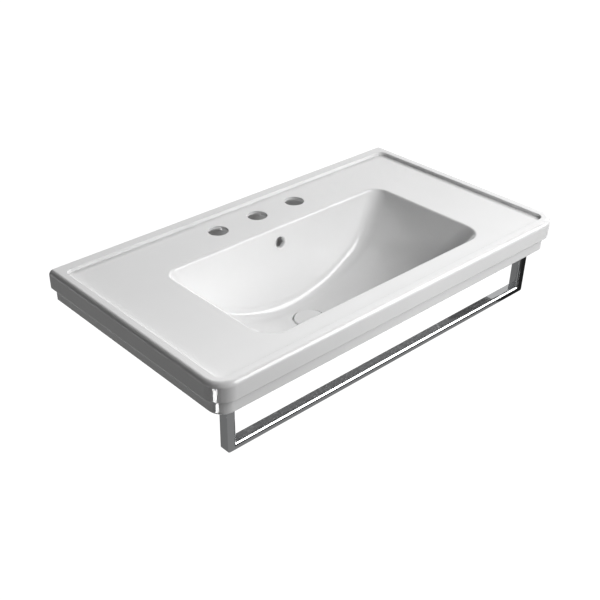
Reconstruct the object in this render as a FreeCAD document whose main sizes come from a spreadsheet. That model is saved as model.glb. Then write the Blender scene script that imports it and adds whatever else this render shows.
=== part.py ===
import FreeCAD, Part
import math
import os

import Sketcher

# A wall-hung ceramic washbasin: raised rim, flat deck with three tap holes, scooped bowl with an overflow,
# stepped apron, a push-to-open waste and a chromed towel rail below the front edge.
# Millimetres and degrees. +X runs along the wall, +Y points into the wall and +Z is up.
# The origin lies on the wall face, halfway between the two fixing holes.

SIZES = {
    # Outside of the ceramic body
    "basin_width": 900,
    "basin_depth": 500,
    "band_height": 40,
    "apron_height": 70,
    "apron_inset": 10,
    "cove_rounding": 3,
    "band_edge_rounding": 4,
    "front_corner_radius": 40,
    "top_rounding": 10,
    "bottom_rounding": 5,
    # Raised rim round the deck
    "rim_width": 21,
    "rim_slope_width": 1,
    "deck_drop": 7,
    "rim_corner_radius": 16,
    "crest_rounding": 1.2,
    "foot_rounding": 1.5,
    # Walls of the ceramic body
    "deck_wall": 14,
    "skirt_wall": 12,
    "rear_wall": 16,
    "bowl_wall": 11,
    "rear_plate_width": 660,
    "rear_plate_drop": 150,
    # Bowl
    "bowl_width": 578,
    "bowl_depth": 184,
    "bowl_back_ledge": 140,
    "bowl_front_ledge": 64,
    "side_draft": 26,
    "back_draft": 10,
    "bowl_floor_length": 136.2,
    "bowl_floor_slack": 178,
    "bowl_side_radius": 110,
    "bowl_back_fillet": 32,
    "bowl_front_fillet": 50,
    "bowl_edge_rounding": 6,
    # Tap holes
    "tap_hole_radius": 21,
    "tap_pitch": 104,
    "tap_setback": 73,
    "tap_edge_rounding": 0.8,
    "tap_land": 6,
    "tap_recess_radius": 31,
    # Overflow and its cast duct
    "overflow_radius": 11,
    "overflow_drop": 42,
    "overflow_rounding": 4,
    "duct_width": 40,
    "duct_skin": 9,
    "duct_gap": 13,
    "duct_wall": 9,
    # Drain in the bowl floor
    "drain_setback": 237,
    "drain_hole_radius": 23,
    "drain_collar_radius": 48,
    "drain_collar_height": 45,
    "seat_radius": 36,
    "seat_drop": 6,
    # Wall fixings
    "fixing_drop": 105,
    "fixing_pitch": 280,
    "bush_radius": 11,
    "bush_bore_radius": 6,
    "bush_flange_radius": 17,
    "bush_flange_thickness": 3,
    "bush_clearance": 0.15,
    # Waste body
    "waste_tube_radius": 20.95,
    "waste_bore_radius": 17.5,
    "waste_flange_radius": 32,
    "waste_flange_thickness": 2.5,
    "mouth_radius": 20.3,
    "mouth_depth": 4,
    "window_width": 12,
    "window_height": 11,
    "tail_radius": 20.6,
    "tail_length": 40,
    "hub_radius": 8,
    "hub_height": 7,
    "spoke_width": 4,
    # Gaskets and nut that clamp the waste
    "flange_gasket_thickness": 1.5,
    "flange_gasket_radius": 31,
    "under_gasket_thickness": 5,
    "under_gasket_radius": 34,
    "slip_washer_thickness": 1.5,
    "slip_washer_radius": 33,
    "back_nut_thickness": 10,
    "back_nut_flat_radius": 30,
    "thread_clearance": 0.2,
    # Plug
    "cover_radius": 33.5,
    "cover_thickness": 5,
    "cover_top_rounding": 3,
    "cover_edge_rounding": 1,
    "cover_gap": 0.5,
    "carrier_radius": 15,
    "carrier_lip_radius": 16.6,
    "carrier_lip_thickness": 1.6,
    "carrier_depth": 6,
    "seal_thickness": 3,
    "seal_gap": 0.4,
    "spindle_radius": 3,
    "spindle_engagement": 4,
    "plug_travel": 8,
    # Push-to-open cartridge
    "cartridge_radius": 8,
    "cartridge_bore_radius": 6.2,
    "cartridge_length": 28,
    "cartridge_floor": 2,
    "cartridge_cap_thickness": 3,
    "cap_drop": 1.5,
    "piston_radius": 5.8,
    "piston_length": 5,
    "stop_gap": 0.3,
    "stud_radius": 4,
    "locknut_thickness": 4,
    "locknut_flat_radius": 6.5,
    "stud_length": 13,
    "spring_wire_radius": 0.5,
    "spring_mean_radius": 4.6,
    # Towel rail
    "rail_end_inset": 42.5,
    "rail_setback": 43,
    "rail_drop": 172.2,
    "rail_thickness": 14.2,
    "leg_thickness": 20,
    "rail_depth": 22,
    "rail_wall": 1.5,
    "rail_corner_radius": 5,
    "rail_edge_rounding": 6.5,
    "rail_sharp_rounding": 2,
    # Rail brackets and their fixings
    "rail_boss_width": 62,
    "rail_boss_depth": 48,
    "rail_boss_height": 20,
    "bracket_width": 50,
    "bracket_depth": 30,
    "bracket_thickness": 4,
    "spigot_length": 24,
    "spigot_clearance": 0.3,
    "pad_thickness": 2,
    "screw_pitch": 36,
    "screw_radius": 2.5,
    "screw_head_radius": 4.5,
    "screw_head_height": 3,
    "screw_length": 26,
    "screw_clearance": 0.3,
    "washer_radius": 5,
    "washer_thickness": 1,
    "wall_plug_radius": 4,
    "wall_plug_length": 20,
    "wall_plug_clearance": 0.1,
    "grub_radius": 2.5,
    "grub_length": 5,
    "grub_drop": 12,
}

# Turns of the cartridge spring, the arcs each turn is drawn with and the points each arc is measured on
SPRING_TURNS = 5
ARCS_PER_TURN = 4
POINTS_PER_ARC = 6
# Half the angle between two corners of a six-sided nut
HALF_SIXTH = 30
# How far a cutting tool runs past the face it opens
TIP = 1.0
# How close two places count as the same
NEAR = 0.05

DOC = FreeCAD.newDocument("Washbasin")
SHEET = DOC.addObject("Spreadsheet::Sheet", "Sizes")
for row, (alias, number) in enumerate(SIZES.items(), start=1):
    SHEET.set(f"A{row}", alias)
    SHEET.set(f"B{row}", str(number))
    SHEET.setAlias(f"B{row}", alias)
DOC.recompute()


class Dim:
    """A size: its value now and the sheet expression that drives it."""

    def __init__(self, value, text):
        self.value = value
        self.text = text

    def __add__(self, other):
        other = as_dim(other)
        return Dim(self.value + other.value, f"({self.text} + {other.text})")

    def __sub__(self, other):
        other = as_dim(other)
        return Dim(self.value - other.value, f"({self.text} - {other.text})")

    def __mul__(self, other):
        other = as_dim(other)
        return Dim(self.value * other.value, f"({self.text} * {other.text})")

    def __truediv__(self, other):
        other = as_dim(other)
        return Dim(self.value / other.value, f"({self.text} / {other.text})")

    def __neg__(self):
        return Dim(-self.value, f"(0 - {self.text})")

    __radd__ = __add__
    __rmul__ = __mul__


def as_dim(number):
    return number if isinstance(number, Dim) else Dim(number, repr(number))


def size(alias):
    return Dim(SIZES[alias], f"Sizes.{alias}")


def tan_of(angle):
    return Dim(math.tan(math.radians(angle.value)), f"tan({angle.text} * 1 deg)")


def root_of(dim):
    return Dim(math.sqrt(dim.value), f"sqrt({dim.text})")


def cos_of(angle):
    return Dim(math.cos(math.radians(angle.value)), f"cos({angle.text} * 1 deg)")


def vector(*parts):
    return FreeCAD.Vector(*[as_dim(part).value for part in parts])


def bind(obj, prop, dim):
    obj.setExpression(prop, as_dim(dim).text)


def place(obj, x, y, z):
    for letter, dim in zip("xyz", (x, y, z)):
        bind(obj, f".Placement.Base.{letter}", dim)


# Simple solids and booleans

ALONG = {
    "Z": FreeCAD.Rotation(),
    "Y": FreeCAD.Rotation(FreeCAD.Vector(1, 0, 0), -90),
}
PLANES = {
    "XZ": FreeCAD.Rotation(FreeCAD.Vector(1, 0, 0), 90),
    "YZ": FreeCAD.Rotation(FreeCAD.Vector(1, 1, 1), 120),
}


def block(name, low, high):
    """A block between its lowest and highest corners."""
    obj = DOC.addObject("Part::Box", name)
    for prop, start, end in zip(("Length", "Width", "Height"), low, high):
        bind(obj, prop, as_dim(end) - as_dim(start))
    place(obj, *low)
    return obj


def rod(name, foot, radius, length, along="Z"):
    """A cylinder that starts at its foot and runs up or towards the wall."""
    obj = DOC.addObject("Part::Cylinder", name)
    obj.Placement = FreeCAD.Placement(FreeCAD.Vector(), ALONG[along])
    bind(obj, "Radius", radius)
    bind(obj, "Height", length)
    place(obj, *foot)
    return obj


def hexagon(name, foot, flat_radius, length):
    """A six-sided prism, sized from its axis to its flats."""
    obj = DOC.addObject("Part::Prism", name)
    obj.Polygon = 6
    bind(obj, "Circumradius", flat_radius / cos_of(as_dim(HALF_SIXTH)))
    bind(obj, "Height", length)
    place(obj, *foot)
    return obj


def joined(name, pieces):
    obj = DOC.addObject("Part::MultiFuse", name)
    obj.Shapes = pieces
    obj.Refine = True
    return obj


def shared(name, first, second):
    obj = DOC.addObject("Part::Common", name)
    obj.Base = first
    obj.Tool = second
    return obj


def cut(name, base, tools):
    obj = DOC.addObject("Part::Cut", name)
    obj.Base = base
    obj.Tool = tools[0] if len(tools) == 1 else joined(name + "_tools", tools)
    return obj


def group(name, pieces):
    obj = DOC.addObject("Part::Compound", name)
    obj.Links = pieces
    return obj


def middle(edge):
    return edge.valueAt((edge.FirstParameter + edge.LastParameter) / 2)


def rounded(name, base, radius, wanted):
    """Round the edges of base whose middle point is wanted."""
    DOC.recompute()
    edges = enumerate(base.Shape.Edges, start=1)
    numbers = [number for number, edge in edges if wanted(middle(edge))]
    if not numbers:
        raise RuntimeError(f"{name} found no edge to round")
    obj = DOC.addObject("Part::Fillet", name)
    obj.Base = base
    obj.Edges = [(number, radius.value, radius.value) for number in numbers]
    DOC.recompute()
    return obj


def near(first, second):
    return abs(first - as_dim(second).value) < NEAR


# Outlines and turned pieces

def draw_outline(sketch, points):
    """Draw a closed outline of straight sides with each corner bound to the sheet."""
    count = len(points)
    for index, start in enumerate(points):
        end = points[(index + 1) % count]
        sketch.addGeometry(Part.LineSegment(vector(*start, 0), vector(*end, 0)))
    for index, corner in enumerate(points):
        sketch.addConstraint(Sketcher.Constraint("Coincident", index, 2, (index + 1) % count, 1))
        for kind, dim in zip(("DistanceX", "DistanceY"), corner):
            dim = as_dim(dim)
            number = sketch.addConstraint(Sketcher.Constraint(kind, -1, 1, index, 1, float(dim.value)))
            sketch.setExpression(f"Constraints[{number}]", dim.text)


def flat_sketch(name, plane, points=()):
    sketch = DOC.addObject("Sketcher::SketchObject", name)
    sketch.Placement = FreeCAD.Placement(FreeCAD.Vector(), PLANES[plane])
    if points:
        draw_outline(sketch, points)
    return sketch


def extruded(name, sketch, length):
    """Extrude a sketch by half the length to each side of its plane."""
    obj = DOC.addObject("Part::Extrusion", name)
    obj.Base = sketch
    obj.DirMode = "Normal"
    obj.Solid = True
    obj.Symmetric = True
    bind(obj, "LengthFwd", length)
    return obj


def turned(name, points):
    """A turned piece: an outline of radius and height, spun about the drain axis."""
    body = DOC.addObject("PartDesign::Body", name)
    plane = next(item for item in body.Origin.OriginFeatures if item.Role == "XZ_Plane")
    sketch = body.newObject("Sketcher::SketchObject", name + "_outline")
    sketch.AttachmentSupport = (plane, [""])
    sketch.MapMode = "FlatFace"
    draw_outline(sketch, points)
    spin = body.newObject("PartDesign::Revolution", name + "_turn")
    spin.Profile = sketch
    spin.ReferenceAxis = (sketch, ["V_Axis"])
    spin.Angle = 360
    place(body, 0, drain_y, 0)
    return body


def ring(name, inner, outer, low, high):
    """A flat ring round the drain axis."""
    return turned(name, [(inner, low), (outer, low), (outer, high), (inner, high)])


# Levels and places that several pieces share

half_width = size("basin_width") / 2
depth = size("basin_depth")
rim_top = size("fixing_drop")
deck_top = rim_top - size("deck_drop")
deck_under = deck_top - size("deck_wall")
band_bottom = rim_top - size("band_height")
apron_bottom = rim_top - size("apron_height")
inset = size("apron_inset")
hollow_half = half_width - inset - size("skirt_wall")
hollow_front = -(depth - inset - size("skirt_wall"))
bowl_floor = rim_top - size("bowl_depth")
bowl_back = -size("bowl_back_ledge")
bowl_front = -(depth - size("bowl_front_ledge"))
drain_y = -size("drain_setback")
seat = bowl_floor - size("seat_drop")
collar_bottom = bowl_floor - size("drain_collar_height")
overflow_z = rim_top - size("overflow_drop")


def plan_inset(point):
    """How far a point lies inside the outer plan outline, apart from its back edge."""
    corner = SIZES["front_corner_radius"]
    from_side = half_width.value - abs(point.x)
    from_front = depth.value + point.y
    if from_side < corner and from_front < corner:
        return corner - math.hypot(corner - from_side, corner - from_front)
    return min(from_side, from_front)


def off_wall(point):
    return point.y < -NEAR


def back_face(z, behind=0):
    """Where the bowl's back wall stands at a height, or a face that far behind it."""
    leaning = bowl_back + (z - deck_top) * tan_of(size("back_draft"))
    return leaning + as_dim(behind) / cos_of(size("back_draft"))


# The front wall leans from the bowl's front edge to the end of its floor.
front_lean = (back_face(bowl_floor) - size("bowl_floor_length") - bowl_front) / (deck_top - bowl_floor)


def front_face(z, before=0):
    """Where the bowl's front wall stands at a height, or a face that far before it."""
    leaning = bowl_front - (z - deck_top) * front_lean
    return leaning - as_dim(before) * root_of(front_lean * front_lean + 1)


# Ceramic body

def apron_step(name, step_inset, low, high):
    """One band of the apron with its two front corners rounded."""
    half = half_width - step_inset
    band = block(name, (-half, -(depth - step_inset), low), (half, 0, high))

    def front_corner(point):
        return near(point.y, -(depth - step_inset)) and near(abs(point.x), half)

    return rounded(name + "_corners", band, size("front_corner_radius") - step_inset, front_corner)


def rim_recess():
    """The shallow dish inside the raised rim, with sloping sides and rounded corners."""
    slope = size("rim_slope_width") / size("deck_drop")
    foot_inset = size("rim_width") + size("rim_slope_width")
    mouth_inset = size("rim_width") - slope * TIP
    dish = DOC.addObject("Part::Wedge", "rim_dish")
    dish.Placement = FreeCAD.Placement(FreeCAD.Vector(), PLANES["XZ"])
    bind(dish, "Ymin", deck_top)
    bind(dish, "Ymax", rim_top + TIP)
    for end, step in (("", foot_inset), ("2", mouth_inset)):
        bind(dish, f"X{end}min", -(half_width - step))
        bind(dish, f"X{end}max", half_width - step)
        bind(dish, f"Z{end}min", step)
        bind(dish, f"Z{end}max", depth - step)
    waist = (deck_top + rim_top + TIP) / 2
    return rounded("rim_dish_corners", dish, size("rim_corner_radius"), lambda point: near(point.z, waist))


def tray():
    """Deck, rim and apron, hollow underneath."""
    upper = apron_step("upper_band", as_dim(0), band_bottom, rim_top)
    lower = apron_step("lower_band", inset, apron_bottom, band_bottom)
    solid = cut("rimmed_block", joined("apron_block", [upper, lower]), [rim_recess()])

    def crest(point):
        return near(point.z, rim_top) and plan_inset(point) > SIZES["top_rounding"] and off_wall(point)

    def cove(point):
        return near(point.z, band_bottom) and near(plan_inset(point), inset) and off_wall(point)

    def band_edge(point):
        return near(point.z, band_bottom) and near(plan_inset(point), 0) and off_wall(point)

    def top_edge(point):
        return near(point.z, rim_top) and near(plan_inset(point), 0) and off_wall(point)

    def bottom_edge(point):
        return near(point.z, apron_bottom) and off_wall(point)

    solid = rounded("rim_crest", solid, size("crest_rounding"), crest)
    solid = rounded("rim_foot", solid, size("foot_rounding"), lambda point: near(point.z, deck_top))
    solid = rounded("apron_cove", solid, size("cove_rounding"), cove)
    solid = rounded("band_edge", solid, size("band_edge_rounding"), band_edge)
    solid = rounded("top_edge", solid, size("top_rounding"), top_edge)
    solid = rounded("bottom_edge", solid, size("bottom_rounding"), bottom_edge)
    low = (-hollow_half, hollow_front, apron_bottom - TIP)
    return cut("tray", solid, [block("tray_hollow", low, (hollow_half, -size("rear_wall"), deck_under))])


def trough_sketch(name, grow, top):
    """The bowl's section across the width: leaning sides, side curves and one wide floor curve."""
    lean = size("side_draft")
    inner_radius = size("bowl_width") - size("bowl_floor_slack")
    floor_radius = inner_radius + grow
    side_radius = size("bowl_side_radius") + grow
    floor_centre = bowl_floor + inner_radius
    top_half = size("bowl_width") / 2 + (top - deck_top) * tan_of(lean) + grow / cos_of(lean)

    # The side curve touches the leaning side and, from within, the floor curve.
    slant = math.radians(lean.value)
    inward = FreeCAD.Vector(-math.cos(slant), math.sin(slant), 0)
    downward = FreeCAD.Vector(-math.sin(slant), -math.cos(slant), 0)
    middle_point = vector(0, floor_centre, 0)
    start = vector(top_half, top, 0) + inward * side_radius.value
    reach = floor_radius.value - side_radius.value
    offset = start - middle_point
    along = offset.dot(downward)
    run = -along + math.sqrt(along * along - offset.dot(offset) + reach * reach)
    side_centre = start + downward * run
    touch_angle = math.atan2(side_centre.y - middle_point.y, side_centre.x - middle_point.x)
    side_touch = side_centre - inward * side_radius.value

    def mirrored(point):
        return FreeCAD.Vector(-point.x, point.y, 0)

    def arc(centre, radius, first, last):
        return Part.ArcOfCircle(Part.Circle(centre, FreeCAD.Vector(0, 0, 1), radius.value), first, last)

    sketch = flat_sketch(name, "XZ")
    corner = vector(top_half, top, 0)
    right, right_curve, floor, left_curve, left, lid = range(6)
    sketch.addGeometry(Part.LineSegment(side_touch, corner))
    sketch.addGeometry(arc(side_centre, side_radius, touch_angle, -slant))
    sketch.addGeometry(arc(middle_point, floor_radius, -math.pi - touch_angle, touch_angle))
    sketch.addGeometry(arc(mirrored(side_centre), side_radius, -math.pi + slant, -math.pi - touch_angle))
    sketch.addGeometry(Part.LineSegment(mirrored(side_touch), mirrored(corner)))
    sketch.addGeometry(Part.LineSegment(mirrored(corner), corner))

    begin, end, centre = 1, 2, 3
    origin, upright = -1, -2
    for fixed in (
        ("Tangent", right, begin, right_curve, end),
        ("Tangent", right_curve, begin, floor, end),
        ("Tangent", left_curve, end, floor, begin),
        ("Tangent", left, begin, left_curve, begin),
        ("Coincident", left, end, lid, begin),
        ("Coincident", right, end, lid, end),
        ("Symmetric", left, end, right, end, upright),
        ("Equal", right_curve, left_curve),
        ("PointOnObject", floor, centre, upright),
    ):
        sketch.addConstraint(Sketcher.Constraint(*fixed))
    for kind, place_on, dim, unit in (
        ("DistanceY", (origin, begin, floor, centre), floor_centre, 1),
        ("DistanceX", (origin, begin, right, end), top_half, 1),
        ("DistanceY", (origin, begin, right, end), top, 1),
        ("Radius", (floor,), floor_radius, 1),
        ("Radius", (right_curve,), side_radius, 1),
        ("Angle", (right,), 90 + -lean, math.radians(1)),
        ("Angle", (left,), 90 + lean, math.radians(1)),
    ):
        number = sketch.addConstraint(Sketcher.Constraint(kind, *place_on, float(dim.value * unit)))
        suffix = " * 1 deg" if kind == "Angle" else ""
        sketch.setExpression(f"Constraints[{number}]", dim.text + suffix)
    return sketch


def bowl_solid(name, grow, top):
    """The bowl as a solid: a trough between a leaning back and front wall, grown by a wall thickness."""
    trough = extruded(name + "_trough", trough_sketch(name + "_section", grow, top), depth * 2)
    low = bowl_floor - grow - TIP
    walls = flat_sketch(name + "_walls", "YZ", [
        (back_face(low, grow), low),
        (back_face(top, grow), top),
        (front_face(top, grow), top),
        (front_face(low, grow), low),
    ])
    slab = extruded(name + "_slab", walls, size("basin_width"))
    solid = shared(name + "_block", trough, slab)

    def on_back(point):
        return near(point.y, back_face(as_dim(point.z), grow)) and not near(point.z, top)

    def on_front(point):
        return near(point.y, front_face(as_dim(point.z), grow)) and not near(point.z, top)

    solid = rounded(name + "_back_curve", solid, size("bowl_back_fillet") + grow, on_back)
    return rounded(name + "_front_curve", solid, size("bowl_front_fillet") + grow, on_front)


def duct(name, skin, gap, half, top, ceiling, low):
    """The overflow duct: down behind the bowl's back wall, then under the floor to the drain."""
    outline = flat_sketch(name + "_outline", "YZ", [
        (back_face(top, skin), top),
        (back_face(top, skin + gap), top),
        (back_face(low, skin + gap), low),
        (drain_y, low),
        (drain_y, ceiling),
        (back_face(ceiling, skin), ceiling),
    ])
    return extruded(name, outline, half * 2)


def rail_places():
    """The middle of each towel-rail leg, named by its side."""
    leg = half_width - size("rail_end_inset") - size("leg_thickness") / 2
    return (("left", -leg), ("right", leg))


rail_y = -(depth - size("rail_setback"))
boss_under = deck_under - size("rail_boss_height")


def screw_places(side, leg_x):
    """The two screws beside one leg, each with its mark."""
    for number, step in enumerate((-1, 1), start=1):
        yield f"{side}_{number}", leg_x + size("screw_pitch") / 2 * step


def all_screw_places():
    return [spot for side, leg_x in rail_places() for spot in screw_places(side, leg_x)]


def basin():
    wall = size("bowl_wall")
    skin = size("duct_skin")
    gap = size("duct_gap")
    half_duct = size("duct_width") / 2
    half_plate = size("rear_plate_width") / 2
    inside_deck = deck_top - size("deck_wall") / 2
    channel_top = overflow_z + size("overflow_radius") + size("overflow_rounding")
    ceiling = bowl_floor - wall
    channel_low = ceiling - gap
    pieces = [
        tray(),
        bowl_solid("bowl_shell", wall, inside_deck),
        rod("drain_collar", (0, drain_y, collar_bottom), size("drain_collar_radius"),
            size("drain_collar_height") - wall / 2),
        duct("duct_block", skin / 2, skin / 2 + gap + size("duct_wall"), half_duct + size("duct_wall"),
             inside_deck, ceiling + wall / 2, channel_low - size("duct_wall")),
        block("rear_plate", (-half_plate, -size("rear_wall"), rim_top - size("rear_plate_drop")),
              (half_plate, 0, deck_under)),
    ]
    for side, sign in (("left", -1), ("right", 1)):
        ends = [hollow_half * sign, (hollow_half - size("rail_boss_width")) * sign]
        ends.sort(key=lambda dim: dim.value)
        pieces.append(block(f"rail_boss_{side}", (ends[0], hollow_front, boss_under),
                            (ends[1], hollow_front + size("rail_boss_depth"), deck_under)))
    solid = joined("ceramic_solid", pieces)

    tools = [
        bowl_solid("bowl_inside", as_dim(0), rim_top),
        rod("drain_seat", (0, drain_y, seat), size("seat_radius"), size("seat_drop") * 2),
        rod("drain_hole", (0, drain_y, collar_bottom - TIP), size("drain_hole_radius"),
            seat - collar_bottom + TIP * 2),
        duct("duct_inside", skin, gap, half_duct, channel_top, ceiling, channel_low),
        rod("overflow_hole", (0, back_face(overflow_z) - size("overflow_radius"), overflow_z),
            size("overflow_radius"), size("overflow_radius") + skin + gap / 2, "Y"),
    ]
    for number, step in enumerate((-1, 0, 1), start=1):
        foot = (size("tap_pitch") * step, -size("tap_setback"), deck_under - TIP)
        tools.append(rod(f"tap_hole_{number}", foot, size("tap_hole_radius"), size("deck_wall") + TIP * 2))
        tools.append(rod(f"tap_recess_{number}", foot, size("tap_recess_radius"),
                         size("deck_wall") - size("tap_land") + TIP))
    for number, step in enumerate((-1, 1), start=1):
        foot = (size("fixing_pitch") / 2 * step, -size("rear_wall") - TIP, 0)
        tools.append(rod(f"fixing_hole_{number}", foot, size("bush_radius") + size("bush_clearance"),
                         size("rear_wall") + TIP * 2, "Y"))
    clearance = size("wall_plug_clearance")
    for mark, x in all_screw_places():
        foot = (x, rail_y, boss_under - TIP)
        tools.append(rod(f"plug_hole_{mark}", foot, size("wall_plug_radius") + clearance,
                         size("wall_plug_length") + clearance + TIP))
    solid = cut("ceramic_cut", solid, tools)

    def bowl_edge(point):
        within = bowl_front.value - TIP < point.y < bowl_back.value + TIP
        return near(point.z, deck_top) and within and abs(point.x) < size("bowl_width").value / 2 + TIP

    def tap_edge(point):
        steps = [SIZES["tap_pitch"] * step for step in (-1, 0, 1)]
        spans = [math.hypot(point.x - step, point.y + SIZES["tap_setback"]) for step in steps]
        return near(point.z, deck_top) and any(near(span, size("tap_hole_radius")) for span in spans)

    def overflow_edge(point):
        span = math.hypot(point.x, point.z - overflow_z.value)
        return near(span, size("overflow_radius")) and near(point.y, back_face(as_dim(point.z)))

    solid = rounded("bowl_edge", solid, size("bowl_edge_rounding"), bowl_edge)
    solid = rounded("tap_edges", solid, size("tap_edge_rounding"), tap_edge)
    solid = rounded("basin", solid, size("overflow_rounding"), overflow_edge)
    return solid


# Waste and its clamping rings

gasket_top = seat + size("flange_gasket_thickness")
flange_top = gasket_top + size("waste_flange_thickness")
under_gasket_bottom = collar_bottom - size("under_gasket_thickness")
slip_bottom = under_gasket_bottom - size("slip_washer_thickness")
nut_bottom = slip_bottom - size("back_nut_thickness")
tail_end = nut_bottom - size("tail_length")
thread_hole = size("waste_tube_radius") + size("thread_clearance")
cover_bottom = flange_top + size("cover_gap")
carrier_bottom = cover_bottom - size("carrier_depth")
cap_top = carrier_bottom - size("cap_drop")
cartridge_top = cap_top - size("cartridge_cap_thickness")
cartridge_bottom = cartridge_top - size("cartridge_length")
piston_top = cartridge_top - size("plug_travel") - size("stop_gap")
hub_bottom = cartridge_bottom - size("hub_height")


def waste_body():
    """Flanged tube with overflow windows and a cross bar whose hub carries the cartridge."""
    tube_radius = size("waste_tube_radius")
    bore = size("waste_bore_radius")
    tube = turned("waste_tube", [
        (size("mouth_radius"), flange_top),
        (size("waste_flange_radius"), flange_top),
        (size("waste_flange_radius"), gasket_top),
        (tube_radius, gasket_top),
        (tube_radius, nut_bottom),
        (size("tail_radius"), nut_bottom),
        (size("tail_radius"), tail_end),
        (bore, tail_end),
        (bore, flange_top - size("mouth_depth")),
    ])
    wall_middle = (tube_radius + bore) / 2
    half_spoke = size("spoke_width") / 2
    spokes = [
        block("spoke_across", (-wall_middle, drain_y - half_spoke, hub_bottom),
              (wall_middle, drain_y + half_spoke, cartridge_bottom)),
        block("spoke_along", (-half_spoke, drain_y - wall_middle, hub_bottom),
              (half_spoke, drain_y + wall_middle, cartridge_bottom)),
    ]
    hub = rod("hub", (0, drain_y, hub_bottom), size("hub_radius"), size("hub_height"))
    solid = joined("waste_solid", [tube, hub] + spokes)
    stud_hole = size("stud_radius") + size("thread_clearance")
    tools = [rod("stud_hole", (0, drain_y, hub_bottom - TIP), stud_hole, size("hub_height") + TIP * 2)]
    window_top = bowl_floor - size("bowl_wall") - TIP
    window_low = window_top - size("window_height")
    half_window = size("window_width") / 2
    reach = tube_radius + TIP
    tools += [
        block("window_across", (-reach, drain_y - half_window, window_low),
              (reach, drain_y + half_window, window_top)),
        block("window_along", (-half_window, drain_y - reach, window_low),
              (half_window, drain_y + reach, window_top)),
    ]
    return cut("waste_body", solid, tools)


def clamp_rings():
    """The rings above and below the ceramic and the nut that pulls them together."""
    nut = hexagon("back_nut_blank", (0, drain_y, nut_bottom), size("back_nut_flat_radius"),
                  size("back_nut_thickness"))
    nut_bore = rod("back_nut_bore", (0, drain_y, nut_bottom - TIP), thread_hole,
                   size("back_nut_thickness") + TIP * 2)
    return [
        ring("flange_gasket", thread_hole, size("flange_gasket_radius"), seat, gasket_top),
        ring("under_gasket", thread_hole, size("under_gasket_radius"), under_gasket_bottom, collar_bottom),
        ring("slip_washer", thread_hole, size("slip_washer_radius"), slip_bottom, under_gasket_bottom),
        cut("back_nut", nut, [nut_bore]),
    ]


# Plug and cartridge

def plug_cover():
    cover_top = cover_bottom + size("cover_thickness")
    blank = rod("cover_blank", (0, drain_y, cover_bottom), size("cover_radius"), size("cover_thickness"))
    cap = rounded("cover_top_edge", blank, size("cover_top_rounding"), lambda point: near(point.z, cover_top))
    rim = size("cover_radius").value

    def lower_edge(point):
        return near(point.z, cover_bottom) and near(math.hypot(point.x, point.y - drain_y.value), rim)

    return rounded("plug_cover", cap, size("cover_edge_rounding"), lower_edge)


def plug_pieces():
    """What rides under the cover: carrier, seal and spindle with its piston."""
    seal_bottom = flange_top - size("seal_thickness")
    mouth_lean = (size("mouth_radius") - size("waste_bore_radius")) / size("mouth_depth")
    seal_reach = size("mouth_radius") - size("seal_gap")
    lip_bottom = seal_bottom - size("carrier_lip_thickness")
    spindle_top = carrier_bottom + size("spindle_engagement")
    hole = size("spindle_radius") + size("thread_clearance")
    carrier = turned("plug_carrier", [
        (0, cover_bottom),
        (size("carrier_radius"), cover_bottom),
        (size("carrier_radius"), seal_bottom),
        (size("carrier_lip_radius"), seal_bottom),
        (size("carrier_lip_radius"), lip_bottom),
        (size("hub_radius"), carrier_bottom),
        (hole, carrier_bottom),
        (hole, spindle_top),
        (0, spindle_top),
    ])
    seal = turned("plug_seal", [
        (size("carrier_radius"), seal_bottom),
        (seal_reach - mouth_lean * size("seal_thickness"), seal_bottom),
        (seal_reach, flange_top),
        (size("carrier_radius"), flange_top),
    ])
    spindle = turned("plug_spindle", [
        (0, piston_top - size("piston_length")),
        (size("piston_radius"), piston_top - size("piston_length")),
        (size("piston_radius"), piston_top),
        (size("spindle_radius"), piston_top),
        (size("spindle_radius"), spindle_top),
        (0, spindle_top),
    ])
    return [plug_cover(), carrier, seal, spindle]


def cartridge_pieces():
    bore = size("cartridge_bore_radius")
    well = cartridge_bottom + size("cartridge_floor")
    stud_end = cartridge_bottom - size("stud_length")
    body = turned("cartridge_body", [
        (0, stud_end),
        (size("stud_radius"), stud_end),
        (size("stud_radius"), cartridge_bottom),
        (size("cartridge_radius"), cartridge_bottom),
        (size("cartridge_radius"), cartridge_top),
        (bore, cartridge_top),
        (bore, well),
        (0, well),
    ])
    cap_hole = size("spindle_radius") + size("stop_gap")
    cap = ring("cartridge_cap", cap_hole, size("cartridge_radius"), cartridge_top, cap_top)
    nut = hexagon("locknut_blank", (0, drain_y, hub_bottom - size("locknut_thickness")),
                  size("locknut_flat_radius"), size("locknut_thickness"))
    nut_bore = rod("locknut_bore", (0, drain_y, hub_bottom - size("locknut_thickness") - TIP),
                   size("stud_radius") + size("thread_clearance"), size("locknut_thickness") + TIP * 2)
    spring = coil(well.value, (piston_top - size("piston_length")).value)
    return [body, cap, cut("cartridge_locknut", nut, [nut_bore]), spring]


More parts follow.
